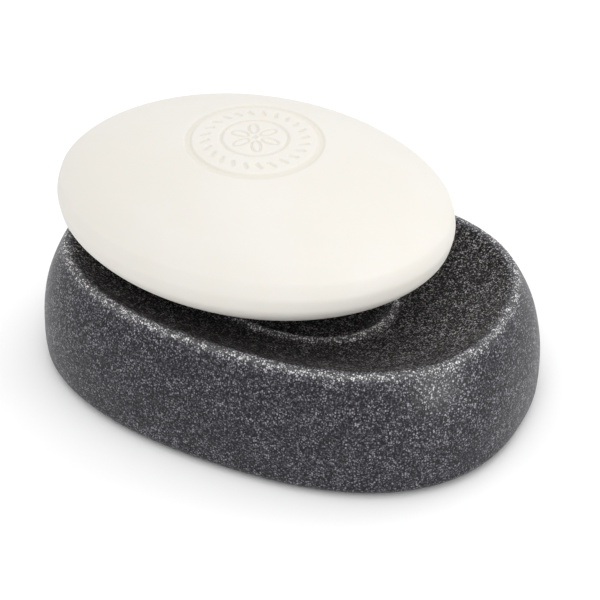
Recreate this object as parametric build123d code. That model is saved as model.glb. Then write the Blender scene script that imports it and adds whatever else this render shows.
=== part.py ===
from build123d import *
import math
import os

# A pressed oval soap bar lying in a cast, stone-effect soap dish.
# The origin is on the table, under the middle of the dish. +X runs along the dish to its
# wider end, +Z is up, and -Y is the side from which the dish is normally seen.
# All lengths are in millimetres.

# ---- dish: plan ----
DISH_LENGTH = 125.0
DISH_WIDTH = 88.5
OUTLINE_POWER = 2.36      # 2 is a true ellipse, more is squarer
EGG = 0.098               # the +X end is this much wider than the middle

# ---- dish: wall, base and lip ----
BASE_HEIGHT = 0.5         # underside of the dish above the table, set by the pads
BASE_ROUND = 3.0          # radius where the wall tucks under
BASE_TUCK = 0.3           # how far the wall has come in where that rounding ends
WIDEST_HEIGHT = 9.3
LEAN_HEIGHT = 31.7        # height at which the wall has leaned in by LEAN_IN
LEAN_IN = 5.74
LEAN_POWER = 2.24
RIM_HEIGHT = 32.0
LIP_OUTER_RADIUS = 1.6
LIP_OUTER_START = 30.0    # degrees above level of the wall's normal where the lip begins
LIP_INNER_RADIUS = 3.6
LIP_INNER_END = 26.0      # degrees off vertical of the lip's normal where the bowl begins

# ---- dish: bowl and the oval bead in it ----
BEAD_LENGTH = 44.7        # along X, at the bead's crest
BEAD_WIDTH = 34.8
BEAD_OFFSET = 4.3         # bead's centre from the dish's, along +X
BEAD_HEIGHT = 1.0         # above the bowl around it
BEAD_CREST = 24.75        # height of the crest above the table
BEAD_ROD_RADIUS = 1.8     # the bead's rounding
BOWL_POWER = 2.4          # 2 is a plain dished curve, more is flatter with steeper sides
FLOOR_SHARE = 0.07        # the flat spot at the bottom, as a share of the bowl's length

# ---- anti-slip pads in the underside ----
PAD_RADIUS = 5.0
PAD_THICKNESS = 1.5
PAD_GAP = 0.2             # clearance around a pad in its recess
PAD_SPACING_X = 72.0
PAD_SPACING_Y = 42.0

# ---- soap bar ----
SOAP_LENGTH = 100.6
SOAP_WIDTH = 79.6
CROWN_HEIGHT = 18.3       # top of the bar above its widest line
BELLY_DEPTH = 19.2        # bottom of the bar below its widest line
DOME_SINK = 2.0           # the domes are ellipses centred this far beyond the widest line
BELT_HALF = 4.0           # half the height of the belt pressed around the bar
BELT_DRAFT = 0.95         # how far each edge of the belt comes in from the widest line
BELT_BULGE = 0.10         # how far the belt's halves bow out from straight
BELT_EDGE_ROUND = 2.0
SOAP_CENTRE = (-10.41, 4.11, 44.59)
SOAP_PITCH = 0.42         # degrees, +X end down
SOAP_ROLL = -1.02         # degrees, -Y side up
SOAP_YAW = -1.25          # degrees, seen from above

# ---- seal pressed into the top of the bar: two plain ring grooves ----
SEAL_OUTER_RADIUS = 16.95
SEAL_INNER_RADIUS = 8.45
SEAL_GROOVE_WIDTH = 1.2
SEAL_DEPTH = 0.5

POINTS_ROUND = 32         # points that carry each outline's curve
HALF_LENGTH = DISH_LENGTH / 2
HALF_WIDTH = DISH_WIDTH / 2


def outline(half_length, half_width, power, height, centre_x=0.0, egg=EGG):
    """A closed egg-shaped outline that lies level at one height."""
    points = []
    for i in range(POINTS_ROUND):
        turn = 2 * math.pi * i / POINTS_ROUND
        cosine, sine = math.cos(turn), math.sin(turn)
        x = half_length * math.copysign(abs(cosine) ** (2 / power), cosine)
        y = half_width * math.copysign(abs(sine) ** (2 / power), sine)
        points.append((centre_x + x, y * (1 + egg * x / HALF_LENGTH), height))
    return Wire([Spline(*points, periodic=True)])


def wall_outline(inset, height):
    """An outline of the dish's outside, brought in all round by inset."""
    return outline(HALF_LENGTH - inset, HALF_WIDTH - inset, OUTLINE_POWER, height)


def lean(height):
    """How far the wall has come in at a height above its widest line."""
    return LEAN_IN * ((height - WIDEST_HEIGHT) / (LEAN_HEIGHT - WIDEST_HEIGHT)) ** LEAN_POWER


LIP_WALL_ANGLE = math.radians(LIP_OUTER_START)
LIP_WALL_TOP = RIM_HEIGHT - LIP_OUTER_RADIUS * (1 - math.sin(LIP_WALL_ANGLE))
CREST_INSET = lean(LIP_WALL_TOP) + LIP_OUTER_RADIUS * math.cos(LIP_WALL_ANGLE)
BOWL_HALF_LENGTH = HALF_LENGTH - CREST_INSET
BOWL_HALF_WIDTH = HALF_WIDTH - CREST_INSET
BEAD_SHARE = BEAD_LENGTH / 2 / BOWL_HALF_LENGTH
ROUNDER = math.log(BEAD_WIDTH / 2 / BOWL_HALF_WIDTH) / math.log(BEAD_SHARE)
BEAD_FOOT = BEAD_CREST - BEAD_HEIGHT
FLOOR_HEIGHT = (BEAD_FOOT - RIM_HEIGHT * BEAD_SHARE**BOWL_POWER) / (1 - BEAD_SHARE**BOWL_POWER)


def bowl_height(share):
    """Height of the bowl where its outline is that share of the lip's length."""
    return FLOOR_HEIGHT + (RIM_HEIGHT - FLOOR_HEIGHT) * share**BOWL_POWER


def bowl_outline(share):
    """A level outline of the bowl, which grows rounder towards the bead."""
    return outline(
        BOWL_HALF_LENGTH * share,
        BOWL_HALF_WIDTH * share**ROUNDER,
        2 + (OUTLINE_POWER - 2) * share,
        bowl_height(share),
        BEAD_OFFSET * (1 - share) / (1 - BEAD_SHARE),
        EGG * share,
    )


def base_sections():
    """The rounding where the wall tucks under, from the flat underside upwards."""
    sections = []
    for degrees in (0, 22.5, 45, 67.5):
        angle = math.radians(degrees)
        inset = BASE_TUCK + BASE_ROUND * (1 - math.sin(angle))
        sections.append(wall_outline(inset, BASE_HEIGHT + BASE_ROUND * (1 - math.cos(angle))))
    sections.append(wall_outline(BASE_TUCK / 2, (BASE_HEIGHT + BASE_ROUND + WIDEST_HEIGHT) / 2))
    return sections


def wall_sections():
    """The side of the dish, from its widest line to the start of the lip."""
    steps = 6
    rise = LIP_WALL_TOP - WIDEST_HEIGHT
    heights = [WIDEST_HEIGHT + rise * step / steps for step in range(steps)]
    return [wall_outline(lean(height), height) for height in heights]


def lip_outer_sections():
    """The tight outer round of the lip, from the wall up to the crest."""
    sections = []
    for degrees in (LIP_OUTER_START, 50, 70, 90):
        angle = math.radians(degrees)
        inset = CREST_INSET - LIP_OUTER_RADIUS * math.cos(angle)
        height = RIM_HEIGHT - LIP_OUTER_RADIUS * (1 - math.sin(angle))
        sections.append(wall_outline(inset, height))
    return sections


def lip_inner_sections():
    """The easier inner round of the lip, from the crest down to the bowl."""
    sections = []
    for degrees in (0, LIP_INNER_END / 2, LIP_INNER_END):
        angle = math.radians(degrees)
        inset = CREST_INSET + LIP_INNER_RADIUS * math.sin(angle)
        height = RIM_HEIGHT - LIP_INNER_RADIUS * (1 - math.cos(angle))
        sections.append(wall_outline(inset, height))
    return sections


def bowl_sections():
    """The bowl from under the lip to its flat spot."""
    shares = (0.90, 0.80, 0.68, 0.56, 0.45, 0.34, 0.24, 0.15, FLOOR_SHARE)
    return [bowl_outline(share) for share in shares]


def open_topped(solid):
    """A lofted solid's faces without the flat lid at the height of the lip's crest."""
    return [
        face
        for face in solid.faces()
        if not (face.geom_type == GeomType.PLANE and abs(face.center().Z - RIM_HEIGHT) < 0.01)
    ]


def make_bead():
    """The oval bead: a round rod bent into an ellipse and sunk into the bowl."""
    centre = (BEAD_OFFSET, 0, BEAD_CREST - BEAD_ROD_RADIUS)
    path = Wire([Edge.make_ellipse(BEAD_LENGTH / 2, BEAD_WIDTH / 2, Plane(centre))])
    start = Plane((BEAD_OFFSET + BEAD_LENGTH / 2, 0, centre[2]), x_dir=(1, 0, 0), z_dir=(0, 1, 0))
    return sweep(start * Circle(BEAD_ROD_RADIUS), path=path)


def upright_disc(radius, height):
    """A cylinder that stands on the table at the origin."""
    return Cylinder(radius, height, align=(Align.CENTER, Align.CENTER, Align.MIN))


def pad_places():
    """Centres of the four pads, in the order front left, front right, back left, back right."""
    return [
        (side_x * PAD_SPACING_X / 2, side_y * PAD_SPACING_Y / 2)
        for side_y in (-1, 1)
        for side_x in (-1, 1)
    ]


def make_dish():
    """The cast dish: an outer skin and a bowl that meet along the lip's crest, and the bead."""
    outside = Solid.make_loft(base_sections() + wall_sections() + lip_outer_sections())
    bowl = Solid.make_loft(lip_inner_sections() + bowl_sections())
    dish = Solid(Shell(open_topped(outside) + open_topped(bowl))) + make_bead()
    for x, y in pad_places():
        dish -= Pos(x, y, 0) * upright_disc(PAD_RADIUS + PAD_GAP, PAD_THICKNESS)
    return dish


def make_pad(x, y):
    """One round pad, standing on the table and reaching up to the roof of its recess."""
    return Pos(x, y, 0) * upright_disc(PAD_RADIUS, PAD_THICKNESS)


def dome_point(share, pole, shrink):
    """A point of a dome's profile: share runs from 0 at the pole to 1 at the belt's edge."""
    side = math.copysign(1, pole)
    rise = abs(pole) + DOME_SINK
    edge_angle = math.asin((BELT_HALF + DOME_SINK) / rise)
    angle = math.pi / 2 + (edge_angle - math.pi / 2) * share
    reach = (SOAP_LENGTH / 2 - BELT_DRAFT) / math.cos(edge_angle)
    return ((reach - shrink) * math.cos(angle), side * ((rise - shrink) * math.sin(angle) - DOME_SINK))


def turned_form(shrink=0.0):
    """The bar about its own centre before it is pressed narrow: round in plan."""
    steps = 6
    crown = [dome_point(i / steps, CROWN_HEIGHT, shrink) for i in range(steps + 1)]
    belly = [dome_point(i / steps, -BELLY_DEPTH, shrink) for i in range(steps, -1, -1)]
    widest = SOAP_LENGTH / 2 - shrink
    half_draft = widest - BELT_DRAFT / 2 + BELT_BULGE
    with BuildSketch(Plane.XZ) as profile:
        with BuildLine():
            Spline(*crown, tangents=((1, 0), slope(crown)))
            ThreePointArc(crown[-1], (half_draft, BELT_HALF / 2), (widest, 0))
            ThreePointArc((widest, 0), (half_draft, -BELT_HALF / 2), belly[0])
            Spline(*belly, tangents=(slope(belly, first=True), (-1, 0)))
            Line(belly[-1], crown[0])
        make_face()
    return revolve(profile.sketch, axis=Axis.Z)


def slope(points, first=False):
    """The direction from one end point of a run to its neighbour, in running order."""
    start, end = (points[0], points[1]) if first else (points[-2], points[-1])
    return (end[0] - start[0], end[1] - start[1])


def seal_cutter(radius):
    """The wall of an upright oval tube, which becomes round when the bar is pressed narrow."""
    stretch = SOAP_LENGTH / SOAP_WIDTH
    outer, inner = radius + SEAL_GROOVE_WIDTH / 2, radius - SEAL_GROOVE_WIDTH / 2
    ring = Ellipse(outer, outer * stretch) - Ellipse(inner, inner * stretch)
    return extrude(ring, CROWN_HEIGHT)


def make_soap():
    """The bar with its two seal grooves, turned and lifted to where it lies in the dish."""
    bar = turned_form()
    belt_edges = [
        edge
        for edge in bar.edges().filter_by(GeomType.CIRCLE)
        if abs(abs(edge.center().Z) - BELT_HALF) < 0.01
    ]
    bar = fillet(belt_edges, BELT_EDGE_ROUND)
    core = turned_form(SEAL_DEPTH)
    for radius in (SEAL_OUTER_RADIUS, SEAL_INNER_RADIUS):
        bar -= seal_cutter(radius) - core
    pressed = scale(bar, by=(1, SOAP_WIDTH / SOAP_LENGTH, 1))
    turned = Rot(0, 0, SOAP_YAW) * Rot(0, SOAP_PITCH, 0) * Rot(SOAP_ROLL, 0, 0) * pressed
    return Pos(*SOAP_CENTRE) * turned


os.makedirs("parts", exist_ok=True)
export_step(make_dish(), "parts/dish_body.step")
for number, (x, y) in enumerate(pad_places(), start=1):
    export_step(make_pad(x, y), f"parts/pad_{number}.step")
export_step(make_soap(), "parts/soap_bar.step")
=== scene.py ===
"""Soap bar on a stone-effect soap dish: the looks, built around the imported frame."""

import math

import bmesh
import bpy
import numpy as np
from bpy.props import FloatProperty, FloatVectorProperty, IntProperty, PointerProperty
from mathutils import Matrix, Vector, noise


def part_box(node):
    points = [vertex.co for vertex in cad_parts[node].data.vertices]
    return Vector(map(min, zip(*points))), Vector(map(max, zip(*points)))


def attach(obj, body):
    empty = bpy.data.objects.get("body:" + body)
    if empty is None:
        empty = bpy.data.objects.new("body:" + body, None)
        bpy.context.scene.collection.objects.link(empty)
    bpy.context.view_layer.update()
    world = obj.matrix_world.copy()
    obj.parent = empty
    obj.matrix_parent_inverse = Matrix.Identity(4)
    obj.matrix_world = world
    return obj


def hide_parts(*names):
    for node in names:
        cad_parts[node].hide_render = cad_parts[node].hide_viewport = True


bl_info = {
    "name": "Soap bar and stone dish",
    "version": (1, 0, 0),
    "blender": (4, 5, 0),
    "location": "View3D > Sidebar > Soap dish",
    "description": "Makes a pressed oval soap bar, the cast dish under it and a plain studio",
    "category": "Add Mesh",
}

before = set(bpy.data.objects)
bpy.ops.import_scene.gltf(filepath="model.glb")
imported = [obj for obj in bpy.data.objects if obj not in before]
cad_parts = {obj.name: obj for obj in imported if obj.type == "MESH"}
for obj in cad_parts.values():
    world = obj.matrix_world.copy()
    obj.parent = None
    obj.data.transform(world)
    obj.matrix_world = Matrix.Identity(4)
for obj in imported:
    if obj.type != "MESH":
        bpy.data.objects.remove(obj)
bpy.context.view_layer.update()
DISH_LOW, DISH_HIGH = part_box("dish_body")
SOAP_LOW, SOAP_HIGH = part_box("soap_bar")
PADS = ("pad_1", "pad_2", "pad_3", "pad_4")
PAD_LOW, PAD_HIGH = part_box(PADS[0])
MM = 0.001
BELLY_DEPTH = 19.2 * MM

# Lights, as name: azimuth, elevation (degrees), size (m), power (W). All stand as far off.
LIGHT_DISTANCE = 0.9
LIGHTS = {
    "side": (80, 13, 0.25, 1.2),
    "key": (15, 52, 0.45, 1.1),
    "top": (15, 84, 0.30, 0.9),
    "back": (160, 50, 0.50, 1.0),
    "sheen": (68, 12, 0.25, 4.0),
}
FLOOR_HALF = 2.5          # metres from the middle of the floor to its side
SENSOR = 36.0             # width of the camera's sensor in millimetres
NEAREST = 0.05            # metres from the camera to the nearest thing that it shows


# ---- what a user would change ----

class DishSettings(bpy.types.PropertyGroup):
    """Sizes of the cast dish."""

    outline_power: FloatProperty(
        name="Outline power", description="2 is an ellipse, more is squarer", default=2.36
    )
    egg: FloatProperty(
        name="Egg", description="How much wider the far end is than the middle", default=0.098
    )
    base_round: FloatProperty(
        name="Base round", description="Radius where the wall tucks under",
        default=3.0 * MM, subtype="DISTANCE", unit="LENGTH",
    )
    base_tuck: FloatProperty(
        name="Base tuck", description="How far the wall has come in where the base round ends",
        default=0.3 * MM, subtype="DISTANCE", unit="LENGTH",
    )
    widest: FloatProperty(
        name="Widest height", description="Height of the widest line above the table",
        default=9.3 * MM, subtype="DISTANCE", unit="LENGTH",
    )
    lean_height: FloatProperty(
        name="Lean height", description="Height at which the wall has leaned in fully",
        default=31.7 * MM, subtype="DISTANCE", unit="LENGTH",
    )
    lean_in: FloatProperty(
        name="Lean in", description="How far the wall leans in",
        default=5.74 * MM, subtype="DISTANCE", unit="LENGTH",
    )
    lean_power: FloatProperty(
        name="Lean power", description="How late the wall leans in", default=2.24
    )
    lip_outer: FloatProperty(
        name="Lip outside", description="Radius of the lip's tight outer round",
        default=1.6 * MM, subtype="DISTANCE", unit="LENGTH",
    )
    lip_inner: FloatProperty(
        name="Lip inside", description="Radius of the lip's easy inner round",
        default=3.6 * MM, subtype="DISTANCE", unit="LENGTH",
    )
    bowl_power: FloatProperty(
        name="Bowl power", description="2 is plainly dished, more is flatter", default=2.4
    )
    bead_length: FloatProperty(
        name="Bead length", description="Length of the oval bead at its crest",
        default=44.7 * MM, subtype="DISTANCE", unit="LENGTH",
    )
    bead_width: FloatProperty(
        name="Bead width", description="Width of the oval bead at its crest",
        default=34.8 * MM, subtype="DISTANCE", unit="LENGTH",
    )
    bead_offset: FloatProperty(
        name="Bead offset", description="Bead's centre from the dish's",
        default=4.3 * MM, subtype="DISTANCE", unit="LENGTH",
    )
    bead_crest: FloatProperty(
        name="Bead crest", description="Height of the bead's crest above the table",
        default=24.75 * MM, subtype="DISTANCE", unit="LENGTH",
    )
    bead_height: FloatProperty(
        name="Bead height", description="Height of the bead above the bowl around it",
        default=1.0 * MM, subtype="DISTANCE", unit="LENGTH",
    )
    bead_foot: FloatProperty(
        name="Bead foot", description="Half the width of the bead's foot",
        default=2.2 * MM, subtype="DISTANCE", unit="LENGTH",
    )
    casting: FloatProperty(
        name="Casting waviness", description="Depth of the slow waves a casting has",
        default=0.10 * MM, subtype="DISTANCE", unit="LENGTH",
    )
    stone_colour: FloatVectorProperty(
        name="Stone colour", description="Colour of the resin between the flecks",
        default=(0.0082, 0.0079, 0.0108), subtype="COLOR", size=3, min=0, max=1,
    )
    fleck_colour: FloatVectorProperty(
        name="Fleck colour", description="Colour of the brightest mineral flecks",
        default=(0.50, 0.482, 0.55), subtype="COLOR", size=3, min=0, max=1,
    )


class SoapSettings(bpy.types.PropertyGroup):
    """Sizes of the soap bar and its pressed seal."""

    crown: FloatProperty(
        name="Crown height", description="Top of the bar above its widest line",
        default=18.3 * MM, subtype="DISTANCE", unit="LENGTH",
    )
    sink: FloatProperty(
        name="Dome sink", description="The domes' centres lie this far past the widest line",
        default=2.0 * MM, subtype="DISTANCE", unit="LENGTH",
    )
    belt_half: FloatProperty(
        name="Belt half height", description="Half the height of the belt around the bar",
        default=4.0 * MM, subtype="DISTANCE", unit="LENGTH",
    )
    belt_draft: FloatProperty(
        name="Belt draft", description="How far each edge of the belt comes in",
        default=0.95 * MM, subtype="DISTANCE", unit="LENGTH",
    )
    belt_bulge: FloatProperty(
        name="Belt bulge", description="How far the belt's halves bow out from straight",
        default=0.10 * MM, subtype="DISTANCE", unit="LENGTH",
    )
    pitch: FloatProperty(
        name="Pitch", description="Tilt with the far end down",
        default=math.radians(0.42), subtype="ANGLE", unit="ROTATION",
    )
    roll: FloatProperty(
        name="Roll", description="Tilt with the back up",
        default=math.radians(-1.02), subtype="ANGLE", unit="ROTATION",
    )
    yaw: FloatProperty(
        name="Yaw", description="Turn seen from above",
        default=math.radians(-1.25), subtype="ANGLE", unit="ROTATION",
    )
    seal_outer: FloatProperty(
        name="Seal radius", description="Radius of the outer ring's middle line",
        default=16.1 * MM, subtype="DISTANCE", unit="LENGTH",
    )
    seal_inner: FloatProperty(
        name="Inner ring radius", description="Radius of the inner ring's middle line",
        default=8.1 * MM, subtype="DISTANCE", unit="LENGTH",
    )
    seal_offset: FloatVectorProperty(
        name="Seal offset", description="Where the seal stands from the bar's middle",
        default=(-0.6 * MM, 0.9 * MM, 0.0), subtype="TRANSLATION", size=3,
    )
    seal_depth: FloatProperty(
        name="Seal depth", description="How deep the seal is pressed",
        default=0.42 * MM, subtype="DISTANCE", unit="LENGTH",
    )
    seeds: IntProperty(
        name="Seeds", description="Seed marks in the band between the rings",
        default=24, min=3,
    )
    petals: IntProperty(
        name="Petals", description="Petals of the flower in the middle", default=6, min=3
    )
    colour: FloatVectorProperty(
        name="Soap colour", description="Colour of the milled soap",
        default=(0.695, 0.674, 0.633), subtype="COLOR", size=3, min=0, max=1,
    )


class StudioSettings(bpy.types.PropertyGroup):
    """The studio: where the camera stands and how bright its lights are."""

    azimuth: FloatProperty(
        name="Camera azimuth", description="Camera's direction, from the front towards +X",
        default=math.radians(23.36), subtype="ANGLE", unit="ROTATION",
    )
    elevation: FloatProperty(
        name="Camera elevation", description="Camera's height above level",
        default=math.radians(36.0), subtype="ANGLE", unit="ROTATION",
    )
    distance: FloatProperty(
        name="Camera distance", description="Camera's distance from its target",
        default=0.7368, subtype="DISTANCE", unit="LENGTH",
    )
    target: FloatVectorProperty(
        name="Camera target", description="Point that the camera looks at",
        default=(0.003325, 0.0, 0.02196), subtype="TRANSLATION", unit="LENGTH", size=3,
    )
    focal: FloatProperty(
        name="Focal length", description="Lens length in millimetres", default=180.0
    )
    daylight: FloatProperty(
        name="Surrounding light", description="Strength of the white surroundings",
        default=0.97, min=0,
    )


# ---- meshes from rings of points ----

def outline(half_length, half_width, power, height, centre_x, egg, count):
    """One level, egg-shaped ring of points."""
    turn = np.linspace(0, 2 * math.pi, count, endpoint=False)
    cosine, sine = np.cos(turn), np.sin(turn)
    x = half_length * np.sign(cosine) * np.abs(cosine) ** (2 / power)
    y = half_width * np.sign(sine) * np.abs(sine) ** (2 / power)
    half = (DISH_HIGH.x - DISH_LOW.x) / 2
    return np.stack([centre_x + x, y * (1 + egg * x / half), np.full(count, height)], 1)


def skin(name, rings, first_pole, last_pole):
    """A closed mesh over a run of rings, with a point at each end to close it."""
    count = len(rings[0])
    points = [first_pole] + [tuple(p) for ring in rings for p in ring] + [last_pole]
    faces = []
    for i in range(count):
        faces.append((0, 1 + (i + 1) % count, 1 + i))
    for k in range(len(rings) - 1):
        low, high = 1 + k * count, 1 + (k + 1) * count
        for i in range(count):
            j = (i + 1) % count
            faces.append((low + i, low + j, high + j, high + i))
    top = len(points) - 1
    start = 1 + (len(rings) - 1) * count
    for i in range(count):
        faces.append((start + i, start + (i + 1) % count, top))
    mesh = bpy.data.meshes.new(name)
    mesh.from_pydata(points, [], faces)
    mesh.polygons.foreach_set("use_smooth", [True] * len(faces))
    mesh.validate()
    return mesh


def vertex_table(mesh, layer):
    """The positions or normals of a mesh's vertices as rows."""
    flat = np.empty(len(mesh.vertices) * 3)
    getattr(mesh, layer).foreach_get("co" if layer == "vertices" else "vector", flat)
    return flat.reshape(-1, 3)


def swell(mesh, depth, waves, moving=None):
    """Moves vertices a little along their normals by a slow noise."""
    places = vertex_table(mesh, "vertices")
    normals = vertex_table(mesh, "vertex_normals")
    amount = np.array([noise.fractal(Vector(p) * waves, 1.0, 2.0, 2) for p in places])
    if moving is not None:
        amount *= moving
    places += normals * (depth * amount)[:, None]
    mesh.vertices.foreach_set("co", places.ravel())
    mesh.update()


def show(name, mesh):
    """A new object for a mesh, in the scene's collection."""
    thing = bpy.data.objects.new(name, mesh)
    bpy.context.scene.collection.objects.link(thing)
    return thing


# ---- shader building blocks ----

def add(tree, kind, **settings):
    """A new node with some of its settings."""
    node = tree.nodes.new(kind)
    for key, value in settings.items():
        setattr(node, key, value)
    return node


def feed(tree, node, socket, value):
    """Links a socket to an output, or gives it a plain value."""
    if isinstance(value, bpy.types.NodeSocket):
        tree.links.new(value, node.inputs[socket])
    else:
        node.inputs[socket].default_value = value


def calc(tree, operation, first, second=None, clamp=False):
    """The output of one Math node."""
    node = add(tree, "ShaderNodeMath", operation=operation, use_clamp=clamp)
    feed(tree, node, 0, first)
    if second is not None:
        feed(tree, node, 1, second)
    return node.outputs[0]


def ramp_between(tree, value, low, high, to_low=0.0, to_high=1.0):
    """A smooth step of a value from one range to another."""
    node = add(tree, "ShaderNodeMapRange", interpolation_type="SMOOTHSTEP")
    for socket, given in enumerate((value, low, high, to_low, to_high)):
        feed(tree, node, socket, given)
    return node.outputs[0]


def mix_colours(tree, share, first, second):
    """The output of a colour Mix node."""
    node = add(tree, "ShaderNodeMix", data_type="RGBA")
    feed(tree, node, 0, share)
    for socket, colour in ((6, first), (7, second)):
        if not isinstance(colour, bpy.types.NodeSocket):
            colour = (*colour, 1.0)
        feed(tree, node, socket, colour)
    return node.outputs[2]


def new_group(name, inputs, outputs):
    """An empty shader node group with its two end nodes."""
    group = bpy.data.node_groups.new(name, "ShaderNodeTree")
    for label, kind, value in inputs:
        socket = group.interface.new_socket(label, in_out="INPUT", socket_type=kind)
        if value is not None:
            socket.default_value = value
    for label, kind in outputs:
        group.interface.new_socket(label, in_out="OUTPUT", socket_type=kind)
    return group, add(group, "NodeGroupInput"), add(group, "NodeGroupOutput")


def fleck_group():
    """Mineral flecks: small grains, each of its own brightness, scattered through a body."""
    group, given, out = new_group(
        "Mineral fleck",
        [
            ("Vector", "NodeSocketVector", None),
            ("Grains per metre", "NodeSocketFloat", 2000.0),
            ("Share", "NodeSocketFloat", 0.4),
            ("Radius", "NodeSocketFloat", 0.45),
        ],
        [("Mask", "NodeSocketFloat")],
    )
    cells = add(group, "ShaderNodeTexVoronoi", voronoi_dimensions="3D", feature="F1")
    feed(group, cells, "Vector", given.outputs["Vector"])
    feed(group, cells, "Scale", given.outputs["Grains per metre"])
    parts = add(group, "ShaderNodeSeparateColor")
    feed(group, parts, 0, cells.outputs["Color"])
    inside = calc(group, "SUBTRACT", 1.0, ramp_between(
        group, cells.outputs["Distance"],
        calc(group, "MULTIPLY", given.outputs["Radius"], 0.25), given.outputs["Radius"],
    ))
    floor = calc(group, "SUBTRACT", 1.0, given.outputs["Share"])
    lit = ramp_between(group, parts.outputs[0], floor, 1.0)
    feed(group, out, "Mask", calc(group, "MULTIPLY", inside, lit))
    return group


def mottle_group():
    """Slow cloudy variation and fine grain, as masks around a half."""
    group, given, out = new_group(
        "Cast mottle",
        [
            ("Vector", "NodeSocketVector", None),
            ("Clouds per metre", "NodeSocketFloat", 120.0),
            ("Grains per metre", "NodeSocketFloat", 2500.0),
        ],
        [("Clouds", "NodeSocketFloat"), ("Grain", "NodeSocketFloat")],
    )
    for scale, detail, label in (("Clouds per metre", 3.0, "Clouds"),
                                 ("Grains per metre", 2.0, "Grain")):
        field = add(group, "ShaderNodeTexNoise")
        feed(group, field, "Vector", given.outputs["Vector"])
        feed(group, field, "Scale", given.outputs[scale])
        feed(group, field, "Detail", detail)
        feed(group, out, label, field.outputs["Fac"])
    return group


def place_group(tree, group, **values):
    """A group node in a material, with its values: a name's underscores stand for spaces."""
    node = add(tree, "ShaderNodeGroup", node_tree=group)
    for label, value in values.items():
        feed(tree, node, label.replace("_", " "), value)
    return node


def blank_material(name):
    """A material with a Principled shader, an output and object coordinates."""
    material = bpy.data.materials.new(name)
    material.use_nodes = True
    tree = material.node_tree
    tree.nodes.clear()
    shader = add(tree, "ShaderNodeBsdfPrincipled")
    out = add(tree, "ShaderNodeOutputMaterial")
    tree.links.new(shader.outputs[0], out.inputs["Surface"])
    where = add(tree, "ShaderNodeTexCoord").outputs["Object"]
    return material, tree, shader, where


def tinted(colour, tint):
    """A colour times a tint."""
    return tuple(c * t for c, t in zip(colour, tint))


def bump(tree, height, distance, strength):
    """The normal output of a Bump node."""
    node = add(tree, "ShaderNodeBump")
    feed(tree, node, "Height", height)
    node.inputs["Distance"].default_value = distance
    node.inputs["Strength"].default_value = strength
    return node.outputs[0]


# The stone finish: how strongly the pale flecks show, and where.
FINE_STRENGTH = 0.8               # fine flecks against coarse ones
FLECK_PATCHES = (0.55, 1.35)      # thin and dense patches
FLECK_STRENGTH = 0.36             # on the plain casting
WEAR_AND_HIGHLIGHT_STRENGTH = 1.2               # added along edges: partly real wear, partly painted highlight on the rim and the bead
DUST = 0.07                       # pale haze between the flecks
BOWL_SHADE_DUST_LOSS = 0.5              # how much of it the bowl is without: painted shade
WEAR_AND_HIGHLIGHT_HAZE = 0.09                  # plain paleness along the edges: partly wear, partly painted highlight on the rim and the bead
BOWL_SHADE_AND_BOUNCE_BODY = (0.6, 0.55, 0.4)      # painted shade and warm painted bounce light: colours of the bowl over those of the outside
# Flecks in the bowl brighter and warmer: painted bounce light from the soap.
BOWL_BOUNCE_FLECKS = (1.85, 1.84, 1.62)
# Pale flecks along the edges: partly wear, partly painted highlight.
WEAR_AND_HIGHLIGHT_FLECKS = (0.72, 0.71, 0.71)
STONE_ROUGHNESS = (0.40, 0.34)    # of the resin and of a fleck
RESIN_GLOSS = 0.18
BOWL_GLOSS_LOSS = 0.12
FLECK_GLOSS = 0.9
FLECK_FULL = 0.8                  # a fleck this strong is as smooth and glossy as they get


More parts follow.
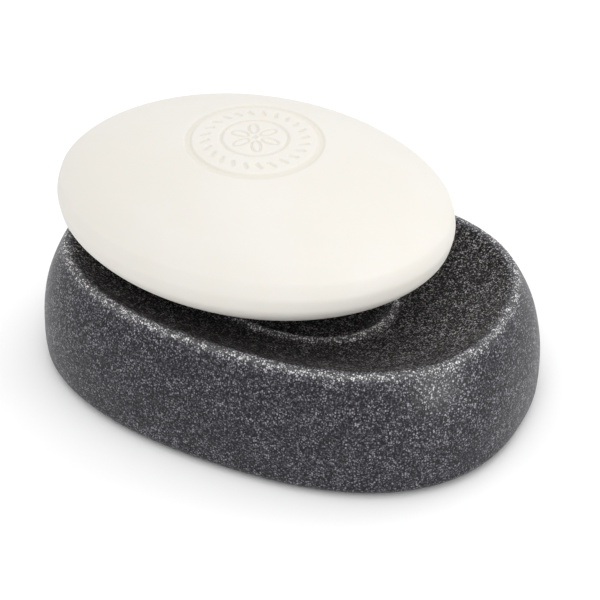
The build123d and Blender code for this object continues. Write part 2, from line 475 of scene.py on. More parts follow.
def stone_material(settings, fleck, mottle):
    """Dark resin full of fine pale flecks, paler along edges (partly wear, partly painted highlight on
    the rim and bead) and with painted shade and warm painted bounce light in the bowl.
    """
    material, tree, shader, where = blank_material("stone_resin")
    clouds = place_group(tree, mottle, Vector=where, Clouds_per_metre=300.0, Grains_per_metre=1900.0)
    coarse = place_group(tree, fleck, Vector=where, Grains_per_metre=1850.0, Share=0.50, Radius=0.62)
    fine = place_group(tree, fleck, Vector=where, Grains_per_metre=2850.0, Share=0.60, Radius=0.66)
    edge = add(tree, "ShaderNodeAttribute", attribute_name="edge").outputs["Fac"]
    inside = add(tree, "ShaderNodeAttribute", attribute_name="inside").outputs["Fac"]
    patch = ramp_between(tree, clouds.outputs["Clouds"], 0.3, 0.7, *FLECK_PATCHES)
    flecks = calc(tree, "MAXIMUM", coarse.outputs[0],
                  calc(tree, "MULTIPLY", fine.outputs[0], FINE_STRENGTH))
    flecks = calc(tree, "MULTIPLY", flecks, patch)
    # Edges carry more flecks: partly real wear, partly painted highlight on the rim and the bead.
    worn_and_lit = calc(tree, "ADD", FLECK_STRENGTH, calc(tree, "MULTIPLY", edge, WEAR_AND_HIGHLIGHT_STRENGTH))
    share = calc(tree, "MULTIPLY", flecks, worn_and_lit)
    dust = ramp_between(tree, clouds.outputs["Grain"], 0.44, 0.70, 0.0, DUST)
    # Less dust in the bowl: painted shade.
    dust_outside_bowl_shade = calc(tree, "SUBTRACT", 1.0, calc(tree, "MULTIPLY", inside, BOWL_SHADE_DUST_LOSS))
    share = calc(tree, "ADD", share, calc(tree, "MULTIPLY", dust, dust_outside_bowl_shade))
    # A plain pale haze along the edges: partly wear, partly painted highlight.
    share = calc(tree, "ADD", share, calc(tree, "MULTIPLY", edge, WEAR_AND_HIGHLIGHT_HAZE), clamp=True)
    stone, pale = tuple(settings.stone_colour), tuple(settings.fleck_colour)
    # In the bowl: darker, warmer resin and brighter, warmer flecks, as painted shade and warm painted
    # bounce light from the soap.
    body = mix_colours(tree, inside, stone, tinted(stone, BOWL_SHADE_AND_BOUNCE_BODY))
    grains = mix_colours(tree, inside, pale, tinted(pale, BOWL_BOUNCE_FLECKS))
    # Along the edges the flecks turn paler: partly wear, partly painted highlight.
    grains = mix_colours(tree, edge, grains, WEAR_AND_HIGHLIGHT_FLECKS)
    feed(tree, shader, "Base Color", mix_colours(tree, share, body, grains))
    feed(tree, shader, "Roughness", ramp_between(tree, flecks, 0.0, FLECK_FULL, *STONE_ROUGHNESS))
    gloss = calc(tree, "SUBTRACT", RESIN_GLOSS, calc(tree, "MULTIPLY", inside, BOWL_GLOSS_LOSS))
    gloss = ramp_between(tree, flecks, 0.0, FLECK_FULL, gloss, FLECK_GLOSS)
    feed(tree, shader, "Specular IOR Level", gloss)
    relief = calc(tree, "ADD", calc(tree, "MULTIPLY", flecks, 0.6), clouds.outputs["Grain"])
    feed(tree, shader, "Normal", bump(tree, relief, 0.1 * MM, 0.4))
    return material


GROOVE_SHADE_TINT = (0.975, 0.965, 0.93)    # painted shade in the seal's grooves: their colour over the plain soap's
# How strongly the painted shade in the grooves shows.
GROOVE_SHADE_STRENGTH = 1.6
SOAP_CLOUDS = 0.5                      # share of the groove tint in the soap's faint clouds, there as a random tone


def soap_material(settings, mottle):
    """Milled cream soap: smooth, faintly cloudy and a little translucent, with painted shade in its
    seal's grooves.
    """
    material, tree, shader, where = blank_material("soap")
    clouds = place_group(tree, mottle, Vector=where, Clouds_per_metre=45.0, Grains_per_metre=900.0)
    colour = tuple(settings.colour)
    pressed = add(tree, "ShaderNodeAttribute", attribute_name="pressed").outputs["Fac"]
    faint = ramp_between(tree, clouds.outputs["Clouds"], 0.35, 0.65, 0.0, SOAP_CLOUDS)
    # The seal's grooves are darkened as painted shade.
    share = calc(tree, "ADD", faint, calc(tree, "MULTIPLY", pressed, GROOVE_SHADE_STRENGTH))
    feed(tree, shader, "Base Color", mix_colours(tree, share, colour, tinted(colour, GROOVE_SHADE_TINT)))
    feed(tree, shader, "Roughness", ramp_between(tree, clouds.outputs["Clouds"], 0.3, 0.7, 0.58, 0.68))
    shader.inputs["Subsurface Weight"].default_value = 0.15
    shader.inputs["Subsurface Radius"].default_value = (1.0, 0.7, 0.45)
    shader.inputs["Subsurface Scale"].default_value = 2.5 * MM
    shader.inputs["Specular IOR Level"].default_value = 0.3
    feed(tree, shader, "Normal", bump(tree, clouds.outputs["Grain"], 0.04 * MM, 0.25))
    return material


def foam_material(mottle):
    """Black closed-cell foam."""
    material, tree, shader, where = blank_material("pad_foam")
    cells = place_group(tree, mottle, Vector=where, Clouds_per_metre=300.0, Grains_per_metre=2200.0)
    share = ramp_between(tree, cells.outputs["Grain"], 0.35, 0.7)
    foam = mix_colours(tree, share, (0.018, 0.018, 0.019), (0.05, 0.05, 0.052))
    feed(tree, shader, "Base Color", foam)
    feed(tree, shader, "Roughness", ramp_between(tree, cells.outputs["Clouds"], 0.3, 0.7, 0.8, 0.95))
    feed(tree, shader, "Normal", bump(tree, cells.outputs["Grain"], 0.2 * MM, 0.6))
    return material


def floor_material():
    """Pale matt studio floor."""
    material, tree, shader, where = blank_material("studio_floor")
    field = add(tree, "ShaderNodeTexNoise")
    feed(tree, field, "Vector", where)
    feed(tree, field, "Scale", 4.0)
    share = ramp_between(tree, field.outputs["Fac"], 0.3, 0.7)
    feed(tree, shader, "Base Color", mix_colours(tree, share, (0.93, 0.93, 0.93), (0.95, 0.95, 0.95)))
    shader.inputs["Roughness"].default_value = 0.9
    return material


def shared_group(name, make):
    """A node group by name, made the first time that it is asked for."""
    return bpy.data.node_groups.get(name) or make()


# ---- Geometry Nodes building blocks ----

def new_tree(name, inputs):
    """An empty Geometry Nodes tree with a geometry input and output and some named inputs."""
    tree = bpy.data.node_groups.new(name, "GeometryNodeTree")
    tree.interface.new_socket("Geometry", in_out="INPUT", socket_type="NodeSocketGeometry")
    for label, kind in inputs:
        tree.interface.new_socket(label, in_out="INPUT", socket_type=kind)
    tree.interface.new_socket("Geometry", in_out="OUTPUT", socket_type="NodeSocketGeometry")
    return tree, add(tree, "NodeGroupInput"), add(tree, "NodeGroupOutput")


def run_tree(thing, tree, values):
    """Runs a tree on an object with named values and returns the result as a plain mesh."""
    modifier = thing.modifiers.new(tree.name, "NODES")
    modifier.node_group = tree
    for item in tree.interface.items_tree:
        if item.in_out == "INPUT" and item.name in values:
            modifier[item.identifier] = values[item.name]
    depsgraph = bpy.context.evaluated_depsgraph_get()
    mesh = bpy.data.meshes.new_from_object(thing.evaluated_get(depsgraph))
    thing.modifiers.remove(modifier)
    return mesh


def finish_tree(tree, given, out, geometry):
    """Ends a tree in Realize Instances and Set Material."""
    real = add(tree, "GeometryNodeRealizeInstances")
    tree.links.new(geometry, real.inputs[0])
    coat = add(tree, "GeometryNodeSetMaterial")
    tree.links.new(real.outputs[0], coat.inputs["Geometry"])
    tree.links.new(given.outputs["Material"], coat.inputs["Material"])
    tree.links.new(coat.outputs[0], out.inputs["Geometry"])


RING_POINTS = 180         # points around each ring and petal of the seal
SEED_HALF = 0.9 * MM      # half the length of a seed mark
SEED_TWIST = math.radians(28)
PETAL_REACH = 4.0 * MM    # from the seal's middle to a petal's
PETAL_HALF = 2.2 * MM     # half the length of a petal
PETAL_NARROW = 0.5        # a petal's width over its length
HEART_RADIUS = 0.5 * MM
# Half width, side softness and share of the seal's depth of each kind of line.
OUTER_LINE = (0.50 * MM, 0.55 * MM, 1.0)
INNER_LINE = (0.15 * MM, 0.40 * MM, 0.8)
SEED_LINE = (0.22 * MM, 0.40 * MM, 0.8)
FLOWER_LINE = (0.10 * MM, 0.38 * MM, 0.75)


def seal_tree():
    """Presses a seal into the top of a bar: two rings, a band of seeds and a flower."""
    tree, given, out = new_tree(
        "Pressed seal",
        [
            ("Outer radius", "NodeSocketFloat"),
            ("Inner radius", "NodeSocketFloat"),
            ("Depth", "NodeSocketFloat"),
            ("Offset", "NodeSocketVector"),
            ("Seeds", "NodeSocketInt"),
            ("Petals", "NodeSocketInt"),
            ("Material", "NodeSocketMaterial"),
        ],
    )
    link = tree.links.new

    def ring(radius):
        """A round line about the seal's middle."""
        circle = add(tree, "GeometryNodeCurvePrimitiveCircle")
        circle.inputs["Resolution"].default_value = RING_POINTS
        feed(tree, circle, "Radius", radius)
        return circle.outputs[0]

    def around(shape, radius, count, twist=0.0):
        """Copies of a shape around a circle, each turned outwards and then twisted."""
        spots = add(tree, "GeometryNodeMeshCircle")
        feed(tree, spots, "Vertices", count)
        feed(tree, spots, "Radius", radius)
        index = add(tree, "GeometryNodeInputIndex").outputs[0]
        step = calc(tree, "DIVIDE", 2 * math.pi, count)
        turn = add(tree, "ShaderNodeCombineXYZ")
        feed(tree, turn, "Z", calc(tree, "ADD", calc(tree, "MULTIPLY", index, step), twist))
        copies = add(tree, "GeometryNodeInstanceOnPoints")
        link(spots.outputs[0], copies.inputs["Points"])
        link(shape, copies.inputs["Instance"])
        link(turn.outputs[0], copies.inputs["Rotation"])
        return copies.outputs[0]

    def narrowed(shape, share):
        """A shape made narrower across."""
        node = add(tree, "GeometryNodeTransform")
        link(shape, node.inputs["Geometry"])
        node.inputs["Scale"].default_value = (1.0, share, 1.0)
        return node.outputs[0]

    def pressed(shapes, half_width, softness, depth_share):
        """How deep a point lies under lines of a half width with soft sides."""
        joined = add(tree, "GeometryNodeJoinGeometry")
        for shape in shapes:
            link(shape, joined.inputs[0])
        real = add(tree, "GeometryNodeRealizeInstances")
        link(joined.outputs[0], real.inputs[0])
        lines = add(tree, "GeometryNodeCurveToMesh")
        link(real.outputs[0], lines.inputs["Curve"])
        near = add(tree, "GeometryNodeProximity", target_element="EDGES")
        link(lines.outputs[0], near.inputs[0])
        link(flat, near.inputs["Sample Position"])
        return ramp_between(tree, near.outputs["Distance"], half_width, half_width + softness,
                            depth_share, 0.0)

    shifted = add(tree, "ShaderNodeVectorMath", operation="SUBTRACT")
    link(add(tree, "GeometryNodeInputPosition").outputs[0], shifted.inputs[0])
    link(given.outputs["Offset"], shifted.inputs[1])
    place = add(tree, "ShaderNodeSeparateXYZ")
    link(shifted.outputs[0], place.inputs[0])
    flattened = add(tree, "ShaderNodeCombineXYZ")
    link(place.outputs["X"], flattened.inputs["X"])
    link(place.outputs["Y"], flattened.inputs["Y"])
    flat = flattened.outputs[0]

    outer, inner = given.outputs["Outer radius"], given.outputs["Inner radius"]
    band = calc(tree, "MULTIPLY", calc(tree, "ADD", outer, inner), 0.5)
    seed = add(tree, "GeometryNodeCurvePrimitiveLine")
    seed.inputs["Start"].default_value = (-SEED_HALF, 0, 0)
    seed.inputs["End"].default_value = (SEED_HALF, 0, 0)
    seeds = around(seed.outputs[0], band, given.outputs["Seeds"], SEED_TWIST)
    petals = around(narrowed(ring(PETAL_HALF), PETAL_NARROW), PETAL_REACH, given.outputs["Petals"])
    heart = ring(HEART_RADIUS)
    depth = pressed([ring(outer)], *OUTER_LINE)
    for shapes, line in (([ring(inner)], INNER_LINE), ([seeds], SEED_LINE),
                         ([petals, heart], FLOWER_LINE)):
        depth = calc(tree, "MAXIMUM", depth, pressed(shapes, *line))
    upper = calc(tree, "GREATER_THAN", place.outputs["Z"], 0.0)
    mask = calc(tree, "MULTIPLY", depth, upper)

    # The pressed depth, which the soap's material also uses to paint shade into the grooves.
    store = add(tree, "GeometryNodeStoreNamedAttribute", data_type="FLOAT", domain="POINT")
    link(given.outputs["Geometry"], store.inputs["Geometry"])
    store.inputs["Name"].default_value = "pressed"
    link(mask, store.inputs["Value"])
    drop = add(tree, "ShaderNodeCombineXYZ")
    amount = calc(tree, "MULTIPLY", mask, given.outputs["Depth"])
    link(calc(tree, "MULTIPLY", amount, -1.0), drop.inputs["Z"])
    move = add(tree, "GeometryNodeSetPosition")
    link(store.outputs["Geometry"], move.inputs["Geometry"])
    link(drop.outputs[0], move.inputs["Offset"])
    finish_tree(tree, given, out, move.outputs[0])
    return tree


PAD_POINTS = 64           # points around a pad and around its recess
PAD_EDGE = 0.15 * MM      # width of the softened edge of a pad


def pad_tree():
    """Round pads at the four corners of a rectangle."""
    tree, given, out = new_tree(
        "Pad set",
        [
            ("Radius", "NodeSocketFloat"),
            ("Thickness", "NodeSocketFloat"),
            ("Spacing X", "NodeSocketFloat"),
            ("Spacing Y", "NodeSocketFloat"),
            ("Material", "NodeSocketMaterial"),
        ],
    )
    link = tree.links.new
    corners = add(tree, "GeometryNodeMeshGrid")
    corners.inputs["Vertices X"].default_value = 2
    corners.inputs["Vertices Y"].default_value = 2
    link(given.outputs["Spacing X"], corners.inputs["Size X"])
    link(given.outputs["Spacing Y"], corners.inputs["Size Y"])
    pad = add(tree, "GeometryNodeMeshCylinder")
    pad.inputs["Vertices"].default_value = PAD_POINTS
    link(given.outputs["Radius"], pad.inputs["Radius"])
    link(given.outputs["Thickness"], pad.inputs["Depth"])
    lift = add(tree, "GeometryNodeTransform")
    link(pad.outputs["Mesh"], lift.inputs["Geometry"])
    up = add(tree, "ShaderNodeCombineXYZ")
    link(calc(tree, "MULTIPLY", given.outputs["Thickness"], 0.5), up.inputs["Z"])
    link(up.outputs[0], lift.inputs["Translation"])
    copies = add(tree, "GeometryNodeInstanceOnPoints")
    link(corners.outputs["Mesh"], copies.inputs["Points"])
    link(lift.outputs[0], copies.inputs["Instance"])
    finish_tree(tree, given, out, copies.outputs[0])
    return tree


# ---- the dish ----

DISH_COUNT = 420          # points around the dish
WIDTH_OVER_LENGTH = 44.25 / 62.5
UNDERSIDE_INSETS = (30, 18, 10, 6)      # millimetres in from the side
LIP_START = math.radians(30)            # the lip leaves the wall at this slope
LIP_END = math.radians(26)              # and meets the bowl at this one
BASE_ROUND_RINGS = 13     # where the wall tucks under
RISING_RINGS = 8          # between the base round and the widest line
SIDE_RINGS = 36           # between the widest line and the lip
OUTER_LIP_RINGS = 10      # on the outer side of the lip
INNER_LIP_RINGS = 7       # on the inner side of the lip
BRIDGE_RINGS = 8          # between the lip and the bowl
BOWL_START = 0.89         # size of the bowl's first ring over the lip's crest line
BOWL_END = 0.03           # and of its last one
BOWL_STEP = 0.014         # from one ring of the bowl to the next
BEAD_STEP = 0.0055        # the same, across the bead
BEAD_REACH = 0.07         # how far to each side of the bead the closer rings go
# Paleness on the lip, partly real wear and partly painted highlight, and a painted highlight along the
# bead: where it is strongest below the rim, and how far it spreads.
LIP_WEAR_AND_HIGHLIGHT_BELOW = 0.3 * MM
LIP_WEAR_AND_HIGHLIGHT_SPREAD = 0.75 * MM
INNER_WEAR_AND_HIGHLIGHT = 0.65
INNER_WEAR_AND_HIGHLIGHT_SPREAD = 0.05 * MM
BEAD_PAINTED_HIGHLIGHT = 0.9
BEAD_HIGHLIGHT_SPREAD = 2.0 * MM
BOWL_SHADE_FADE = 6.0           # rings over which the bowl's painted shade and warm painted bounce light come in
CASTING_WAVES = 90.0      # per metre
RECESS_GAP = 0.2 * MM     # between a pad and the side of its recess


class DishForm:
    """Where the rings of the dish lie."""

    def __init__(self, settings):
        self.s = settings
        self.half_length = (DISH_HIGH.x - DISH_LOW.x) / 2
        self.half_width = self.half_length * WIDTH_OVER_LENGTH
        self.base = DISH_LOW.z
        self.rim = DISH_HIGH.z
        self.wall_top = self.rim - settings.lip_outer * (1 - math.sin(LIP_START))
        self.crest_inset = self.lean(self.wall_top) + settings.lip_outer * math.cos(LIP_START)
        self.bowl_length = self.half_length - self.crest_inset
        self.bowl_width = self.half_width - self.crest_inset
        self.bead_share = settings.bead_length / 2 / self.bowl_length
        self.rounder = math.log(settings.bead_width / 2 / self.bowl_width) / math.log(self.bead_share)
        foot = settings.bead_crest - settings.bead_height
        part = self.bead_share ** settings.bowl_power
        self.floor = (foot - self.rim * part) / (1 - part)

    def lean(self, height):
        """How far the wall has come in at a height."""
        s = self.s
        if height <= s.widest:
            return 0.0
        return s.lean_in * ((height - s.widest) / (s.lean_height - s.widest)) ** s.lean_power

    def wall(self, inset, height):
        """A ring of the outside."""
        s = self.s
        return outline(self.half_length - inset, self.half_width - inset, s.outline_power,
                       height, 0.0, s.egg, DISH_COUNT)

    def bowl(self, share):
        """A ring of the bowl, raised where it crosses the bead."""
        s = self.s
        height = self.floor + (self.rim - self.floor) * share ** s.bowl_power
        across = (share - self.bead_share) * (self.bowl_length + self.bowl_width) / 2 / s.bead_foot
        if abs(across) < 1:
            height += s.bead_height * math.cos(across * math.pi / 2) ** 2
        return outline(self.bowl_length * share, self.bowl_width * share ** self.rounder,
                       2 + (s.outline_power - 2) * share, height,
                       s.bead_offset * (1 - share) / (1 - self.bead_share), s.egg * share, DISH_COUNT)

    def base_rings(self):
        """The flat underside's edge and the rounding where the wall tucks under."""
        s = self.s
        rings = [self.wall(inset * MM, self.base) for inset in UNDERSIDE_INSETS]
        for angle in np.radians(np.linspace(0, 90, BASE_ROUND_RINGS)):
            inset = s.base_tuck + s.base_round * (1 - math.sin(angle))
            rings.append(self.wall(inset, self.base + s.base_round * (1 - math.cos(angle))))
        start = self.base + s.base_round
        for part in np.linspace(0, 1, RISING_RINGS + 1)[1:]:
            rings.append(self.wall(s.base_tuck * (1 - part) ** 2, start + (s.widest - start) * part))
        return rings

    def side_rings(self):
        """The side above the widest line, and the lip up to its crest and over."""
        s = self.s
        heights = np.linspace(s.widest, self.wall_top, SIDE_RINGS + 2)[1:-1]
        rings = [self.wall(self.lean(z), z) for z in heights]
        for angle in np.linspace(LIP_START, math.pi / 2, OUTER_LIP_RINGS):
            rings.append(self.wall(self.crest_inset - s.lip_outer * math.cos(angle),
                                   self.rim - s.lip_outer * (1 - math.sin(angle))))
        for angle in np.linspace(0, LIP_END, INNER_LIP_RINGS + 1)[1:]:
            rings.append(self.wall(self.crest_inset + s.lip_inner * math.sin(angle),
                                   self.rim - s.lip_inner * (1 - math.cos(angle))))
        return rings

    def bridge(self, before, start, end, after):
        """Smooth rings between the lip and the bowl, from the slopes on either side."""
        gap = np.linalg.norm(end - start, axis=1, keepdims=True)
        slope_in = start - before
        slope_in *= gap / np.linalg.norm(slope_in, axis=1, keepdims=True)
        slope_out = after - end
        slope_out *= gap / np.linalg.norm(slope_out, axis=1, keepdims=True)
        rings = []
        for t in np.linspace(0, 1, BRIDGE_RINGS + 2)[1:-1]:
            rings.append((2 * t**3 - 3 * t**2 + 1) * start + (t**3 - 2 * t**2 + t) * slope_in
                         + (3 * t**2 - 2 * t**3) * end + (t**3 - t**2) * slope_out)
        return rings

    def bowl_shares(self):
        """Sizes of the bowl's rings from under the lip inwards, closer together at the bead."""
        shares, share = [], BOWL_START
        while share > BOWL_END:
            shares.append(share)
            share -= BEAD_STEP if abs(share - self.bead_share) < BEAD_REACH else BOWL_STEP
        return shares


def make_dish_mesh(settings):
    """The cast dish, with its slow waves, an edge attribute for wear and painted highlight, and an
    inside attribute for the bowl's painted shade.
    """
    form = DishForm(settings)
    lower = form.base_rings()
    flat = len(lower) - RISING_RINGS
    lower += form.side_rings()
    shares = form.bowl_shares()
    inner = [form.bowl(share) for share in shares]
    rings = lower + form.bridge(lower[-2], lower[-1], inner[0], inner[1]) + inner
    centre = settings.bead_offset / (1 - form.bead_share)
    mesh = skin("stone_dish", rings, (0.0, 0.0, form.base), (centre, 0.0, form.floor))
    ring = (np.arange(len(mesh.vertices)) - 1) // DISH_COUNT
    crest = len(lower) - INNER_LIP_RINGS - 1
    # The edge attribute: a paler lip, partly real wear and partly painted highlight along the rim.
    below = np.clip(form.rim - vertex_table(mesh, "vertices")[:, 2], 0, None)
    outside = np.exp(-np.abs(below - LIP_WEAR_AND_HIGHLIGHT_BELOW) / LIP_WEAR_AND_HIGHLIGHT_SPREAD)
    wear_and_highlight = np.where(ring <= crest, outside, INNER_WEAR_AND_HIGHLIGHT * np.exp(-below / INNER_WEAR_AND_HIGHLIGHT_SPREAD))
    # And a painted highlight along the bead's crest.
    away = (np.array(shares) - form.bead_share) * form.bowl_length / BEAD_HIGHLIGHT_SPREAD
    bowl = ring - (len(rings) - len(shares))
    on_bowl = (bowl >= 0) & (bowl < len(shares))
    wear_and_highlight[on_bowl] += BEAD_PAINTED_HIGHLIGHT * np.exp(-away[bowl[on_bowl]] ** 2)
    edge = mesh.attributes.new("edge", "FLOAT", "POINT")
    edge.data.foreach_set("value", wear_and_highlight)
    # The inside attribute: where the bowl's painted shade and warm painted bounce light from the soap
    # come in.
    inside = mesh.attributes.new("inside", "FLOAT", "POINT")
    inside.data.foreach_set("value", np.clip((ring - crest - 2) / BOWL_SHADE_FADE, 0, 1))
    swell(mesh, settings.casting, CASTING_WAVES, ring > flat)
    return mesh


def cut_recesses(dish):
    """Cuts the shallow pad recesses into the underside."""
    radius = (PAD_HIGH.x - PAD_LOW.x) / 2 + RECESS_GAP
    cutter_mesh = bpy.data.meshes.new("recess_cutter")
    shape = bmesh.new()
    for name in PADS:
        low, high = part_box(name)
        middle = (low + high) / 2
        height = (high.z - low.z) * 2
        place = Matrix.Translation((middle.x, middle.y, high.z - height / 2))
        bmesh.ops.create_cone(shape, cap_ends=True, segments=PAD_POINTS, radius1=radius,
                              radius2=radius, depth=height, matrix=place)
    shape.to_mesh(cutter_mesh)
    shape.free()
    cutter = show("recess_cutter", cutter_mesh)
    modifier = dish.modifiers.new("Recesses", "BOOLEAN")
    modifier.operation = "DIFFERENCE"
    modifier.solver = "EXACT"
    modifier.object = cutter
    depsgraph = bpy.context.evaluated_depsgraph_get()
    mesh = bpy.data.meshes.new_from_object(dish.evaluated_get(depsgraph))
    dish.modifiers.remove(modifier)
    dish.data = mesh
    bpy.data.objects.remove(cutter)
    mesh.set_sharp_from_angle(angle=math.radians(50))


# ---- the soap ----

SOAP_COUNT = 420          # points around the bar
SEAL_GRID = 0.24 * MM     # spacing of the rings under the seal
SEAL_MARGIN = 2.2 * MM    # how far past the seal's outer ring they go on
ROUND_TOP = 10 * MM       # the crown is round within this radius
TOP_TO_OVAL = 22 * MM     # and grows oval over this distance
CROWN_RINGS = 22          # between the seal and the rings near the belt
BELLY_RINGS = 33          # between the belt and the middle of the belly
BELLY_MIDDLE = 1 * MM     # size of the last of those
BELT_GRID = 0.35 * MM     # spacing of the rings near the belt
BELT_REACH = 8 * MM       # and how far in from the side they start
SOFTENING = 4             # smoothing passes over the belt's edges
SOAP_WAVES = 45.0         # per metre
SOAP_WAVE_DEPTH = 0.05 * MM


class SoapForm:
    """Where the rings of the bar lie, about its own centre."""

    def __init__(self, settings):
        self.s = settings
        self.long = (SOAP_HIGH.x - SOAP_LOW.x) / 2
        self.narrow = (SOAP_HIGH.y - SOAP_LOW.y) / 2 / self.long
        self.turn = np.linspace(0, 2 * math.pi, SOAP_COUNT, endpoint=False)

    def reach(self, pole):
        """Half length of the ellipse that a dome is part of."""
        s = self.s
        return (self.long - s.belt_draft) / math.cos(math.asin((s.belt_half + s.sink) / (pole + s.sink)))

    def dome(self, radius, pole):
        """Height of a dome over the widest line at a radius."""
        rise = pole + self.s.sink
        return rise * np.sqrt(np.clip(1 - (radius / self.reach(pole)) ** 2, 0, 1)) - self.s.sink

    def profile(self, start):
        """The bar's profile from a radius on its crown round the belt to its belly."""
        s = self.s
        edge = self.long - s.belt_draft
        crown = [(r, self.dome(r, s.crown)) for r in np.arange(start, edge, BELT_GRID)]
        belt = []
        for z in np.arange(s.belt_half, -s.belt_half, -BELT_GRID):
            part = 1 - abs(z) / s.belt_half
            out = s.belt_draft * part + 4 * s.belt_bulge * part * (1 - part)
            belt.append((edge + out, z))
        belly = [(r, -self.dome(r, BELLY_DEPTH)) for r in np.arange(edge, start, -BELT_GRID)]
        points = np.array(crown + belt + belly)
        for _ in range(SOFTENING):
            points[1:-1] = (points[:-2] + 2 * points[1:-1] + points[2:]) / 4
        return points

    def crown_rings(self, last):
        """Rings over a crown that is round under the seal and grows oval towards the belt."""
        s = self.s
        seal = s.seal_outer + SEAL_MARGIN
        rings = []
        sizes = [(r, r) for r in np.arange(SEAL_GRID, seal, SEAL_GRID)]
        sizes += [(seal + (last - seal) * t, seal + (last * self.narrow - seal) * t)
                  for t in np.linspace(0, 1, CROWN_RINGS + 2)[1:-1]]
        for half_x, half_y in sizes:
            x, y = half_x * np.cos(self.turn), half_y * np.sin(self.turn)
            t = np.clip((np.hypot(x, y) - ROUND_TOP) / TOP_TO_OVAL, 0, 1)
            squeeze = 1 + (1 / self.narrow - 1) * t * t * (3 - 2 * t)
            rings.append(np.stack([x, y, self.dome(np.hypot(x, y * squeeze), s.crown)], 1))
        return rings

    def oval(self, radius, height):
        """A level oval ring."""
        return np.stack([radius * np.cos(self.turn), radius * self.narrow * np.sin(self.turn),
                         np.full(SOAP_COUNT, height)], 1)

    def rings(self):
        """All rings from the top to the belly."""
        start = self.long - BELT_REACH
        rings = self.crown_rings(start)
        rings += [self.oval(r, z) for r, z in self.profile(start)]
        last = rings[-1][0][0]
        sizes = np.linspace(last, BELLY_MIDDLE, BELLY_RINGS + 1)[1:]
        rings += [self.oval(r, -self.dome(r, BELLY_DEPTH)) for r in sizes]
        return rings


def make_soap_mesh(settings):
    """The plain bar before its seal is pressed."""
    form = SoapForm(settings)
    rings = form.rings()
    mesh = skin("soap", rings[::-1], (0, 0, -BELLY_DEPTH), (0, 0, settings.crown))
    swell(mesh, SOAP_WAVE_DEPTH, SOAP_WAVES)
    return mesh


def soap_place(settings):
    """Where the bar lies: its tilt, and its centre from its box in the frame."""
    middle = (SOAP_LOW + SOAP_HIGH) / 2
    centre = Vector((middle.x, middle.y, SOAP_LOW.z + BELLY_DEPTH))
    turn = (Matrix.Rotation(settings.yaw, 4, "Z") @ Matrix.Rotation(settings.pitch, 4, "Y")
            @ Matrix.Rotation(settings.roll, 4, "X"))
    return Matrix.Translation(centre) @ turn


# ---- operators ----

class SOAPDISH_OT_dish(bpy.types.Operator):
    """Makes the cast dish with its bowl, bead and pad recesses"""

    bl_idname = "soapdish.dish"
    bl_label = "Make the dish"

    def execute(self, context):
        settings = context.scene.soapdish_dish
        dish = show("stone_dish", make_dish_mesh(settings))
        cut_recesses(dish)
        fleck = shared_group("Mineral fleck", fleck_group)
        mottle = shared_group("Cast mottle", mottle_group)
        dish.data.materials.clear()
        dish.data.materials.append(stone_material(settings, fleck, mottle))
        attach(dish, "dish")
        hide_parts("dish_body")
        return {"FINISHED"}


class SOAPDISH_OT_pads(bpy.types.Operator):
    """Makes the four anti-slip pads"""

    bl_idname = "soapdish.pads"
    bl_label = "Make the pads"

    def execute(self, context):
        material = foam_material(shared_group("Cast mottle", mottle_group))
        last_low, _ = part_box(PADS[3])
        seed = show("pads", bpy.data.meshes.new("pads"))
        mesh = run_tree(seed, pad_tree(), {
            "Radius": (PAD_HIGH.x - PAD_LOW.x) / 2,
            "Thickness": PAD_HIGH.z - PAD_LOW.z,
            "Spacing X": last_low.x - PAD_LOW.x,
            "Spacing Y": last_low.y - PAD_LOW.y,
            "Material": material,
        })
        seed.data = mesh
        edge = seed.modifiers.new("Soft edge", "BEVEL")
        edge.width = PAD_EDGE
        edge.segments = 2
        edge.limit_method = "ANGLE"
        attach(seed, "dish")
        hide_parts(*PADS)
        return {"FINISHED"}


class SOAPDISH_OT_soap(bpy.types.Operator):
    """Makes the soap bar and presses its seal"""

    bl_idname = "soapdish.soap"
    bl_label = "Make the soap bar"

    def execute(self, context):
        settings = context.scene.soapdish_soap
        material = soap_material(settings, shared_group("Cast mottle", mottle_group))
        bar = show("soap", make_soap_mesh(settings))
        mesh = run_tree(bar, seal_tree(), {
            "Outer radius": settings.seal_outer,
            "Inner radius": settings.seal_inner,
            "Depth": settings.seal_depth,
            "Offset": tuple(settings.seal_offset),
            "Seeds": settings.seeds,
            "Petals": settings.petals,
            "Material": material,
        })
        mesh.transform(soap_place(settings))
        bar.data = mesh
        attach(bar, "soap")
        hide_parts("soap_bar")
        return {"FINISHED"}


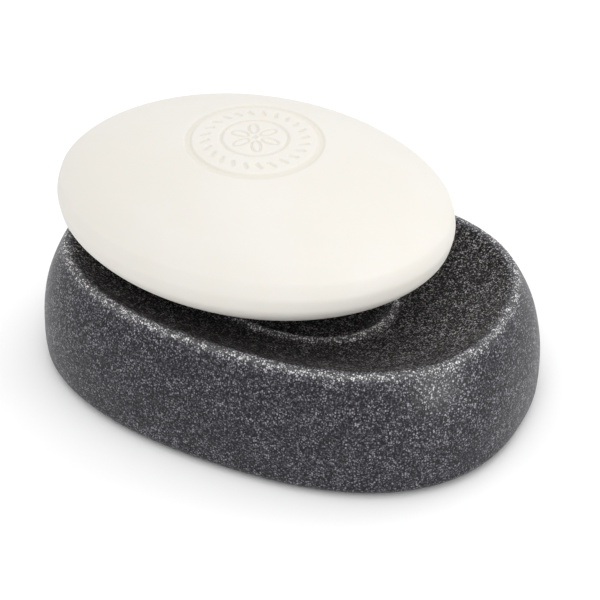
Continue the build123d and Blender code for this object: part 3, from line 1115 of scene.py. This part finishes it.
class SOAPDISH_OT_studio(bpy.types.Operator):
    """Makes the floor, the lights and the camera"""

    bl_idname = "soapdish.studio"
    bl_label = "Make the studio"

    def execute(self, context):
        settings = context.scene.soapdish_studio
        scene = context.scene
        scene.view_settings.view_transform = "Standard"
        corners = [(x * FLOOR_HALF, y * FLOOR_HALF, 0) for x, y in ((-1, -1), (1, -1), (1, 1), (-1, 1))]
        mesh = bpy.data.meshes.new("studio_floor")
        mesh.from_pydata(corners, [], [(0, 1, 2, 3)])
        floor = show("studio_floor", mesh)
        mesh.materials.append(floor_material())
        world = bpy.data.worlds.new("studio_world")
        world.use_nodes = True
        background = world.node_tree.nodes["Background"]
        background.inputs["Color"].default_value = (1, 1, 1, 1)
        background.inputs["Strength"].default_value = settings.daylight
        scene.world = world
        target = Vector(settings.target)
        lamps = {name: self.light(name, target, *values) for name, values in LIGHTS.items()}
        lamps["sheen"].visible_diffuse = False      # it only makes a highlight
        camera_data = bpy.data.cameras.new("camera")
        camera_data.lens = settings.focal
        camera_data.sensor_width = SENSOR
        camera_data.clip_start = NEAREST
        camera = bpy.data.objects.new("camera", camera_data)
        scene.collection.objects.link(camera)
        back = direction(settings.azimuth, settings.elevation)
        camera.location = target + back * settings.distance
        camera.rotation_euler = back.to_track_quat("Z", "Y").to_euler()
        scene.camera = camera
        return {"FINISHED"}

    def light(self, name, target, azimuth, elevation, size, power):
        """One soft square light that faces the target."""
        data = bpy.data.lights.new(name, "AREA")
        data.size = size
        data.energy = power
        lamp = bpy.data.objects.new(name, data)
        bpy.context.scene.collection.objects.link(lamp)
        back = direction(math.radians(azimuth), math.radians(elevation))
        lamp.location = target + back * LIGHT_DISTANCE
        lamp.rotation_euler = back.to_track_quat("Z", "Y").to_euler()
        return lamp


def direction(azimuth, elevation):
    """The unit vector towards a place around the object: azimuth 0 is the front."""
    return Vector((math.sin(azimuth) * math.cos(elevation),
                   -math.cos(azimuth) * math.cos(elevation), math.sin(elevation)))


class SOAPDISH_PT_panel(bpy.types.Panel):
    """Lists the steps and the sizes"""

    bl_idname = "SOAPDISH_PT_panel"
    bl_label = "Soap dish"
    bl_space_type = "VIEW_3D"
    bl_region_type = "UI"
    bl_category = "Soap dish"

    def draw(self, context):
        for operator in OPERATORS:
            self.layout.operator(operator.bl_idname)
        for name, group in SETTINGS.items():
            box = self.layout.box()
            for key in group.__annotations__:
                box.prop(getattr(context.scene, name), key)


OPERATORS = (SOAPDISH_OT_dish, SOAPDISH_OT_pads, SOAPDISH_OT_soap, SOAPDISH_OT_studio)
SETTINGS = {
    "soapdish_dish": DishSettings,
    "soapdish_soap": SoapSettings,
    "soapdish_studio": StudioSettings,
}


def register():
    """Registers the settings, the operators and the panel."""
    for name, group in SETTINGS.items():
        bpy.utils.register_class(group)
        setattr(bpy.types.Scene, name, PointerProperty(type=group))
    for operator in OPERATORS:
        bpy.utils.register_class(operator)
    bpy.utils.register_class(SOAPDISH_PT_panel)


def unregister():
    """Takes everything that register added away again."""
    bpy.utils.unregister_class(SOAPDISH_PT_panel)
    for operator in reversed(OPERATORS):
        bpy.utils.unregister_class(operator)
    for name, group in reversed(SETTINGS.items()):
        delattr(bpy.types.Scene, name)
        bpy.utils.unregister_class(group)


def main():
    """Makes every piece and the studio."""
    register()
    bpy.ops.soapdish.dish()
    bpy.ops.soapdish.pads()
    bpy.ops.soapdish.soap()
    bpy.ops.soapdish.studio()


if __name__ == "__main__":
    main()
